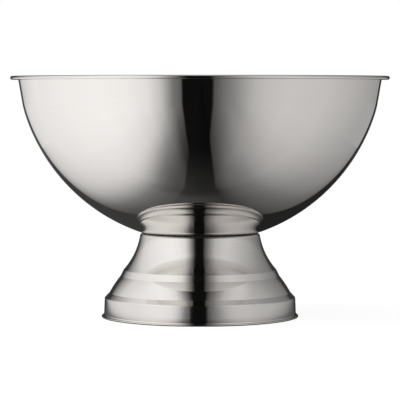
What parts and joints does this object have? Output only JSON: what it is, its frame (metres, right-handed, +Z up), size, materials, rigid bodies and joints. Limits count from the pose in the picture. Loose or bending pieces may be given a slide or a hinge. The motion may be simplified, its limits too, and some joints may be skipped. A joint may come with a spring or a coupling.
{
  "type": "punch bowl",
  "caption": "Round spun-metal punch bowl with a flat rolled rim, bolted through a thin black gasket to a stepped, flared pedestal foot with a hemmed base.",
  "frame": {"origin": "middle of the ring that the foot stands on, on the surface it stands on", "axes": "+Z up along the axis that the bowl and the foot are spun about; X and Y are alike, and the nut's corners lie on X"},
  "size_m": [0.4, 0.3999, 0.255],
  "materials": {
    "bowl_steel": "polished stainless steel with faint turning lines",
    "foot_steel": "polished stainless steel with spinning lines",
    "gasket_rubber": "matt black rubber",
    "plate_steel": "mill finish stainless steel",
    "fastener_steel": "bright stainless fasteners"
  },
  "bodies": {
    "root": {"bowl_shell": "bowl_steel", "foot_shell": "foot_steel", "seat_gasket": "gasket_rubber", "stud_plate": "plate_steel", "weld_stud": "fastener_steel", "backing_plate": "plate_steel", "flat_washer": "fastener_steel", "spring_washer": "fastener_steel", "hex_nut": "fastener_steel"}
  },
  "joints": []
}
